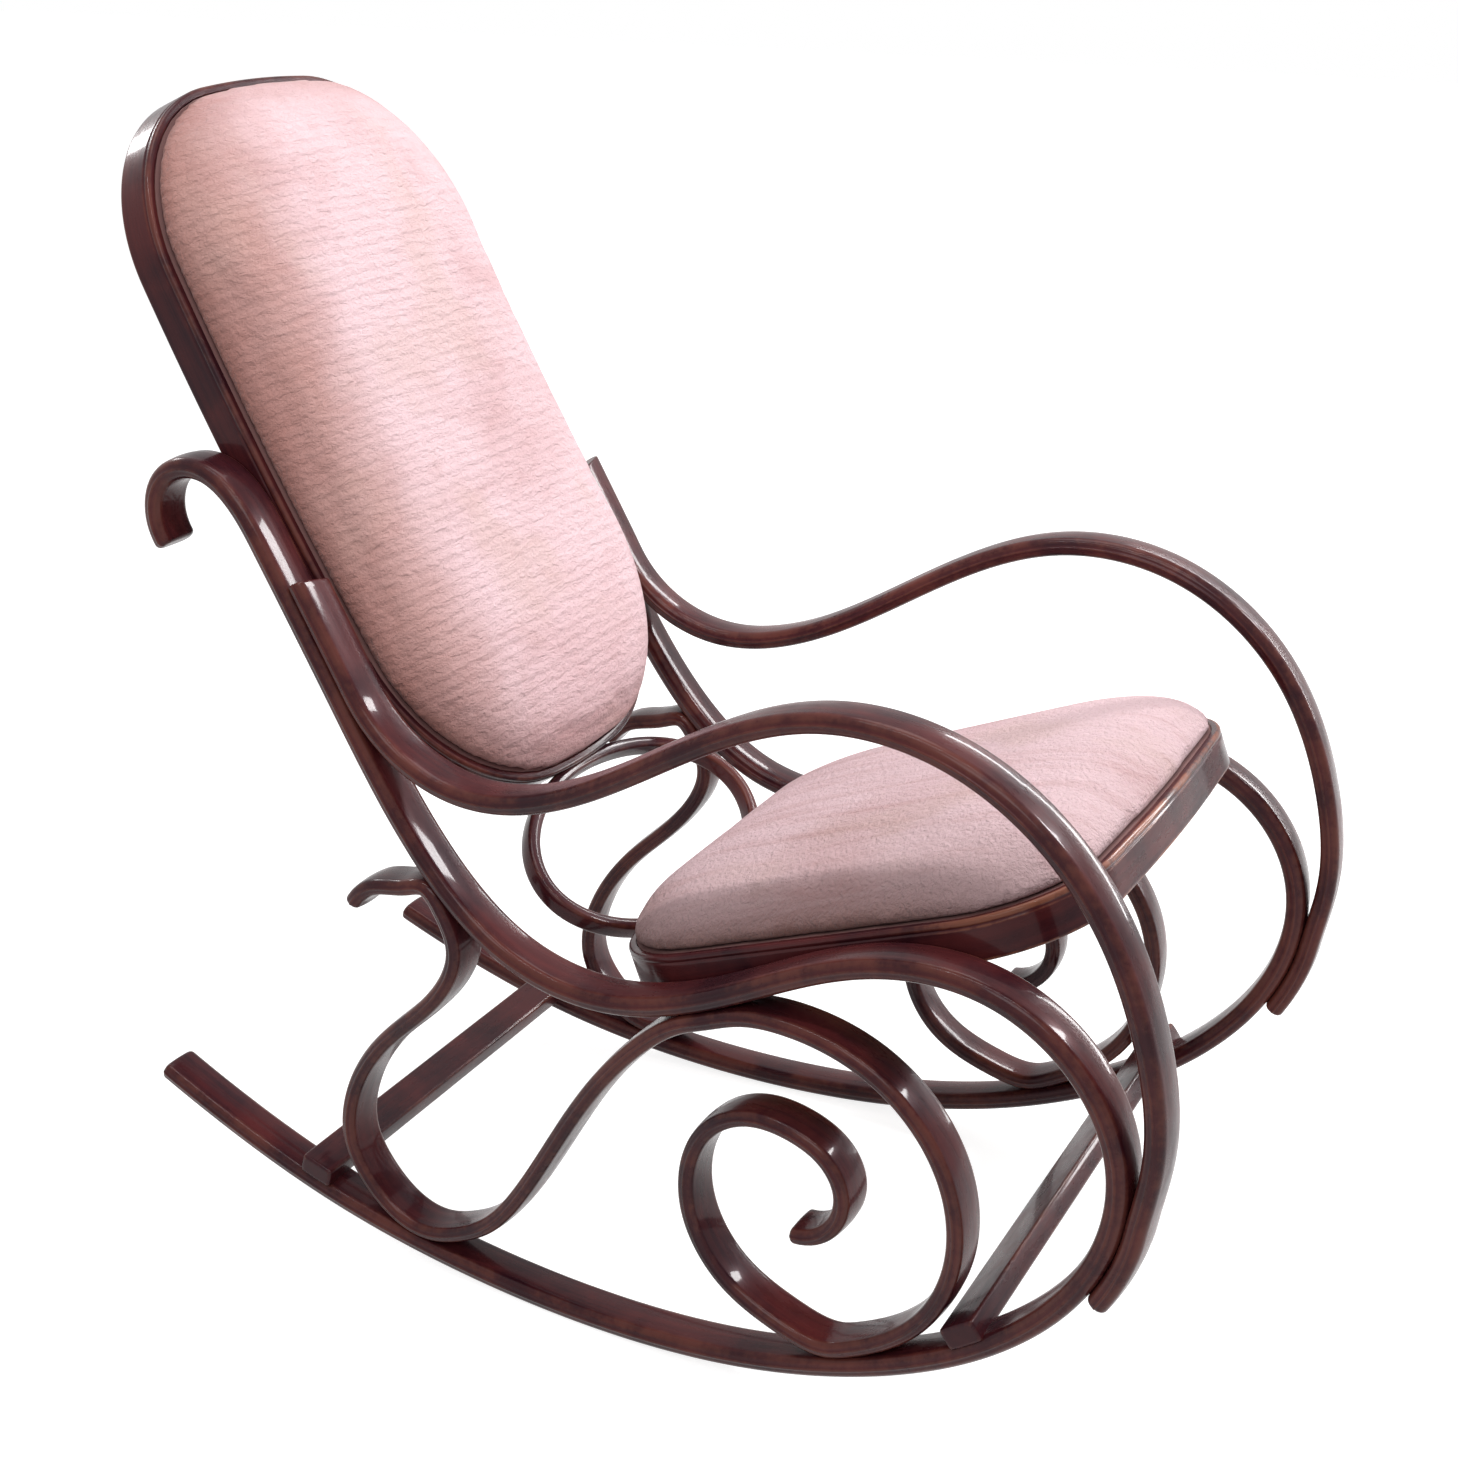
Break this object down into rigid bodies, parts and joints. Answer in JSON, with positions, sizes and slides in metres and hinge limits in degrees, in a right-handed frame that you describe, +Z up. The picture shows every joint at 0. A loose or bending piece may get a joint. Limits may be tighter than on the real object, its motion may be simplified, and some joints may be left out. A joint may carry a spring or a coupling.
{
  "type": "rocking chair",
  "caption": "Bentwood rocking chair with scrolled side frames on curved runners and an upholstered oval-framed seat and back.",
  "frame": {"origin": "on the floor, below the middle of the bounding box", "axes": "+X forward, the way the sitter faces; +Y to the sitter's left; +Z up"},
  "size_m": [1.0444, 0.6062, 1.0488],
  "materials": {
    "lacquered_wood": "dark red-brown stain under gloss lacquer",
    "plush": "short-pile dusty pink plush",
    "plain_wood": "bare plywood",
    "steel": "dull countersunk screw heads"
  },
  "bodies": {
    "root": {"bow_right": "lacquered_wood", "arm_right": "lacquered_wood", "scroll_right": "lacquered_wood", "screw_arm_post_upper_right": "steel", "screw_arm_post_lower_right": "steel", "screw_arm_loop_right": "steel", "screw_scroll_post_right": "steel", "screw_scroll_heel_right": "steel", "screw_scroll_rail_right": "steel", "screw_scroll_toe_right": "steel", "screw_stretcher_rear_right": "steel", "screw_stretcher_front_right": "steel", "screw_seat_1_right": "steel", "screw_seat_2_right": "steel", "screw_back_1_right": "steel", "screw_back_2_right": "steel", "bow_left": "lacquered_wood", "arm_left": "lacquered_wood", "scroll_left": "lacquered_wood", "screw_arm_post_upper_left": "steel", "screw_arm_post_lower_left": "steel", "screw_arm_loop_left": "steel", "screw_scroll_post_left": "steel", "screw_scroll_heel_left": "steel", "screw_scroll_rail_left": "steel", "screw_scroll_toe_left": "steel", "screw_stretcher_rear_left": "steel", "screw_stretcher_front_left": "steel", "screw_seat_1_left": "steel", "screw_seat_2_left": "steel", "screw_back_1_left": "steel", "screw_back_2_left": "steel", "stretcher_rear": "lacquered_wood", "stretcher_front": "lacquered_wood", "seat_hoop": "lacquered_wood", "seat_board": "plain_wood", "seat_pad": "plush", "back_hoop": "lacquered_wood", "back_board": "plain_wood", "back_pad": "plush", "back_rear_cover": "plush", "ring_brace": "lacquered_wood", "screw_ring_seat": "steel", "screw_ring_back": "steel"}
  },
  "joints": []
}
